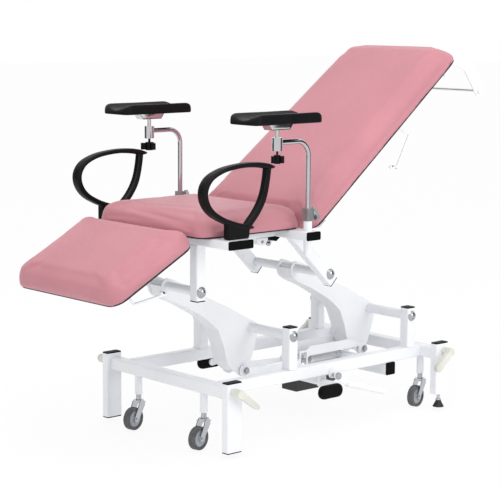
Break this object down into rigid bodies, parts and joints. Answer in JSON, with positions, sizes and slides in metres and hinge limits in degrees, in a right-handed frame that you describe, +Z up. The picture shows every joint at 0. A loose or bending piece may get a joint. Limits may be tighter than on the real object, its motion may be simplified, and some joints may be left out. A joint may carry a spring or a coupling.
{
  "type": "blood collection chair",
  "caption": "Wheeled blood collection couch chair with a parallelogram lift, padded seat, back and leg sections, loop armrests and swinging arm supports.",
  "frame": {"origin": "centre of the bounding box in X and Y, on the floor under the casters", "axes": "+X towards the head end, +Y to the far side in the picture, +Z up"},
  "size_m": [1.6662, 0.762, 1.2541],
  "materials": {
    "white_steel": "satin",
    "black_plastic": "satin",
    "cream_plastic": "satin",
    "chrome_steel": "polished",
    "zinc_steel": "satin",
    "black_rubber": "matt",
    "grey_tyre": "matt",
    "grey_hub": "satin",
    "pink_vinyl": "satin",
    "dark_board": "matt",
    "black_paint": "satin",
    "clamp_alloy": "satin"
  },
  "bodies": {
    "base": {"base_frame": "white_steel", "base_caps": "black_plastic", "base_bolts": "chrome_steel", "pump_unit": "black_paint", "jack_cylinder": "zinc_steel"},
    "levelling_foot_near": {"levelling_foot_near": "black_rubber"},
    "levelling_foot_far": {"levelling_foot_far": "black_rubber"},
    "retract_lever_foot": {"retract_lever_foot": "cream_plastic"},
    "retract_lever_head": {"retract_lever_head": "cream_plastic"},
    "caster_stems_foot": {"caster_stems_foot": "chrome_steel"},
    "caster_stems_head": {"caster_stems_head": "chrome_steel"},
    "fork_foot_near": {"fork_foot_near": "zinc_steel"},
    "wheel_foot_near": {"tyre_foot_near": "grey_tyre", "hub_foot_near": "grey_hub"},
    "fork_foot_far": {"fork_foot_far": "zinc_steel"},
    "wheel_foot_far": {"tyre_foot_far": "grey_tyre", "hub_foot_far": "grey_hub"},
    "fork_head_near": {"fork_head_near": "zinc_steel"},
    "wheel_head_near": {"tyre_head_near": "grey_tyre", "hub_head_near": "grey_hub"},
    "fork_head_far": {"fork_head_far": "zinc_steel"},
    "wheel_head_far": {"tyre_head_far": "grey_tyre", "hub_head_far": "grey_hub"},
    "crank_front": {"crank_front": "white_steel"},
    "crank_rear": {"crank_rear": "white_steel"},
    "link_bar": {"link_bar": "white_steel"},
    "jack_rod": {"jack_rod": "chrome_steel"},
    "upper": {"upper_frame": "white_steel", "upper_caps": "black_plastic", "upper_bolts": "chrome_steel", "loop_armrest_near": "black_plastic", "loop_armrest_far": "black_plastic", "seat_board": "dark_board", "seat_cushion": "pink_vinyl"},
    "leg_section": {"leg_board": "dark_board", "leg_cushion": "pink_vinyl", "leg_frame": "white_steel"},
    "back_section": {"back_board": "dark_board", "back_cushion": "pink_vinyl", "back_frame": "white_steel"},
    "roll_rod": {"roll_rod": "chrome_steel"},
    "back_handle": {"back_handle": "white_steel"},
    "leg_handle": {"leg_handle": "white_steel"},
    "gas_cylinder": {"gas_cylinder": "black_paint"},
    "gas_rod": {"gas_rod": "chrome_steel"},
    "clamp_near": {"clamp_near": "clamp_alloy"},
    "wing_near": {"wing_near": "clamp_alloy"},
    "pole_near": {"pole_near": "chrome_steel"},
    "knob_near": {"knob_near": "black_plastic"},
    "arm_pad_near": {"pad_bracket_near": "white_steel", "arm_pad_near": "black_plastic"},
    "clamp_far": {"clamp_far": "clamp_alloy"},
    "wing_far": {"wing_far": "clamp_alloy"},
    "pole_far": {"pole_far": "chrome_steel"},
    "knob_far": {"knob_far": "black_plastic"},
    "arm_pad_far": {"pad_bracket_far": "white_steel", "arm_pad_far": "black_plastic"},
    "pump_pedal": {"pump_pedal": "white_steel", "pump_pads": "black_rubber"},
    "release_lever": {"release_lever": "white_steel"}
  },
  "joints": [
    {"name": "levelling_foot_near_screw", "type": "slide", "parent": "base", "child": "levelling_foot_near", "axis": [0, 0, 1], "range_m": [-0.01, 0.015]},
    {"name": "levelling_foot_far_screw", "type": "slide", "parent": "base", "child": "levelling_foot_far", "axis": [0, 0, 1], "range_m": [-0.01, 0.015]},
    {"name": "retract_lever_foot_turn", "type": "hinge", "parent": "base", "child": "retract_lever_foot", "pos_m": [-0.41005, 0, 0.208], "axis": [0, -1, 0], "range_deg": [0, 90]},
    {"name": "retract_lever_head_turn", "type": "hinge", "parent": "base", "child": "retract_lever_head", "pos_m": [0.55995, 0, 0.208], "axis": [0, 1, 0], "range_deg": [0, 90]},
    {"name": "caster_stems_foot_slide", "type": "slide", "parent": "base", "child": "caster_stems_foot", "axis": [0, 0, 1], "range_m": [0, 0.014]},
    {"name": "caster_stems_head_slide", "type": "slide", "parent": "base", "child": "caster_stems_head", "axis": [0, 0, 1], "range_m": [0, 0.014]},
    {"name": "caster_foot_near_swivel", "type": "hinge", "parent": "caster_stems_foot", "child": "fork_foot_near", "pos_m": [-0.39905, -0.166, 0.097], "axis": [0, 0, 1], "continuous": true},
    {"name": "caster_foot_near_roll", "type": "hinge", "parent": "fork_foot_near", "child": "wheel_foot_near", "pos_m": [-0.42564, -0.17069, 0.0375], "axis": [-0.1736, 0.9848, 0], "continuous": true},
    {"name": "caster_foot_far_swivel", "type": "hinge", "parent": "caster_stems_foot", "child": "fork_foot_far", "pos_m": [-0.39905, 0.166, 0.097], "axis": [0, 0, 1], "continuous": true},
    {"name": "caster_foot_far_roll", "type": "hinge", "parent": "fork_foot_far", "child": "wheel_foot_far", "pos_m": [-0.42564, 0.16131, 0.0375], "axis": [-0.1736, 0.9848, 0], "continuous": true},
    {"name": "caster_head_near_swivel", "type": "hinge", "parent": "caster_stems_head", "child": "fork_head_near", "pos_m": [0.54895, -0.221, 0.097], "axis": [0, 0, 1], "continuous": true},
    {"name": "caster_head_near_roll", "type": "hinge", "parent": "fork_head_near", "child": "wheel_head_near", "pos_m": [0.52236, -0.22569, 0.0375], "axis": [-0.1736, 0.9848, 0], "continuous": true},
    {"name": "caster_head_far_swivel", "type": "hinge", "parent": "caster_stems_head", "child": "fork_head_far", "pos_m": [0.54895, 0.221, 0.097], "axis": [0, 0, 1], "continuous": true},
    {"name": "caster_head_far_roll", "type": "hinge", "parent": "fork_head_far", "child": "wheel_head_far", "pos_m": [0.52236, 0.21631, 0.0375], "axis": [-0.1736, 0.9848, 0], "continuous": true},
    {"name": "lift", "type": "hinge", "parent": "base", "child": "crank_front", "pos_m": [-0.08205, 0, 0.329], "axis": [0, 1, 0], "range_deg": [-21, 34]},
    {"name": "crank_rear_pivot", "type": "hinge", "parent": "base", "child": "crank_rear", "pos_m": [0.47795, 0, 0.329], "axis": [0, 1, 0], "range_deg": [-21.5, 34.5]},
    {"name": "upper_frame_pivot", "type": "hinge", "parent": "crank_front", "child": "upper", "pos_m": [-0.43805, 0, 0.507], "axis": [0, 1, 0], "range_deg": [-34.5, 21.5]},
    {"name": "link_bar_pivot", "type": "hinge", "parent": "crank_front", "child": "link_bar", "pos_m": [-0.11805, 0, 0.189], "axis": [0, 1, 0], "range_deg": [-34.5, 21.5]},
    {"name": "jack_stroke", "type": "slide", "parent": "base", "child": "jack_rod", "axis": [1, 0, 0], "range_m": [-0.078, 0.0485]},
    {"name": "leg_section_hinge", "type": "hinge", "parent": "upper", "child": "leg_section", "pos_m": [-0.47805, 0, 0.668], "axis": [0, 1, 0], "range_deg": [-35, 28]},
    {"name": "back_section_hinge", "type": "hinge", "parent": "upper", "child": "back_section", "pos_m": [-0.00105, 0, 0.672], "axis": [0, -1, 0], "range_deg": [-37.5, 24.5]},
    {"name": "gas_spring_pivot", "type": "hinge", "parent": "upper", "child": "gas_cylinder", "pos_m": [-0.33305, 0, 0.64], "axis": [0, -1, 0], "range_deg": [-0.68, 0.55]},
    {"name": "gas_spring_stroke", "type": "slide", "parent": "gas_cylinder", "child": "gas_rod", "axis": [0.9978, 0, -0.0668], "range_m": [-0.0339, 0.0223]},
    {"name": "paper_roll_spin", "type": "hinge", "parent": "back_section", "child": "roll_rod", "pos_m": [0.80196, 0, 1.09406], "axis": [0, 1, 0], "continuous": true},
    {"name": "back_handle_pull", "type": "hinge", "parent": "back_section", "child": "back_handle", "pos_m": [0.3935, -0.24, 0.97916], "axis": [0, 1, 0], "range_deg": [0, 10], "stiffness_Nm_per_rad": 1.5, "springref_deg": -17.19},
    {"name": "leg_handle_pull", "type": "hinge", "parent": "leg_section", "child": "leg_handle", "pos_m": [-0.73763, -0.205, 0.53848], "axis": [0, -1, 0], "range_deg": [0, 10], "stiffness_Nm_per_rad": 1.5, "springref_deg": -17.19},
    {"name": "arm_swing_near", "type": "hinge", "parent": "upper", "child": "clamp_near", "pos_m": [-0.09705, -0.316, 0.714], "axis": [0, 0, 1], "range_deg": [-30, 90]},
    {"name": "wing_screw_near", "type": "hinge", "parent": "clamp_near", "child": "wing_near", "pos_m": [-0.08305, -0.316, 0.735], "axis": [1, 0, 0], "range_deg": [-90, 90]},
    {"name": "arm_height_near", "type": "slide", "parent": "clamp_near", "child": "pole_near", "axis": [0, 0, 1], "range_m": [0, 0.12]},
    {"name": "knob_screw_near", "type": "hinge", "parent": "pole_near", "child": "knob_near", "pos_m": [-0.23105, -0.316, 0.92], "axis": [0, 0, 1], "range_deg": [-90, 90]},
    {"name": "pad_swivel_near", "type": "hinge", "parent": "pole_near", "child": "arm_pad_near", "pos_m": [-0.23105, -0.316, 0.99], "axis": [0, 0, 1], "range_deg": [-45, 45]},
    {"name": "arm_swing_far", "type": "hinge", "parent": "upper", "child": "clamp_far", "pos_m": [-0.09705, 0.316, 0.714], "axis": [0, 0, -1], "range_deg": [-30, 90]},
    {"name": "wing_screw_far", "type": "hinge", "parent": "clamp_far", "child": "wing_far", "pos_m": [-0.08305, 0.316, 0.735], "axis": [1, 0, 0], "range_deg": [-90, 90]},
    {"name": "arm_height_far", "type": "slide", "parent": "clamp_far", "child": "pole_far", "axis": [0, 0, 1], "range_m": [0, 0.12]},
    {"name": "knob_screw_far", "type": "hinge", "parent": "pole_far", "child": "knob_far", "pos_m": [-0.23105, 0.316, 0.92], "axis": [0, 0, 1], "range_deg": [-90, 90]},
    {"name": "pad_swivel_far", "type": "hinge", "parent": "pole_far", "child": "arm_pad_far", "pos_m": [-0.23105, 0.316, 0.99], "axis": [0, 0, -1], "range_deg": [-45, 45]},
    {"name": "pump_pedal_press", "type": "hinge", "parent": "base", "child": "pump_pedal", "pos_m": [0.07695, 0, 0.15], "axis": [0, -1, 0], "range_deg": [0, 20], "stiffness_Nm_per_rad": 4, "springref_deg": -22.92},
    {"name": "release_lever_press", "type": "hinge", "parent": "base", "child": "release_lever", "pos_m": [0.08895, -0.271, 0.18], "axis": [0, 1, 0], "range_deg": [0, 8], "stiffness_Nm_per_rad": 12, "springref_deg": -8.59}
  ],
  "couplings": [
    {"joint": "retract_lever_foot_turn", "follows": "caster_stems_foot_slide", "rad_per_m": 112.19},
    {"joint": "retract_lever_head_turn", "follows": "caster_stems_head_slide", "rad_per_m": 112.19},
    {"joint": "crank_rear_pivot", "follows": "lift", "ratio": 1},
    {"joint": "upper_frame_pivot", "follows": "lift", "ratio": -1},
    {"joint": "link_bar_pivot", "follows": "lift", "ratio": -1},
    {"joint": "jack_stroke", "follows": "lift", "m_per_rad": -0.13},
    {"joint": "gas_spring_pivot", "follows": "back_section_hinge", "ratio": 0.01},
    {"joint": "gas_spring_stroke", "follows": "back_section_hinge", "m_per_rad": 0.051}
  ]
}
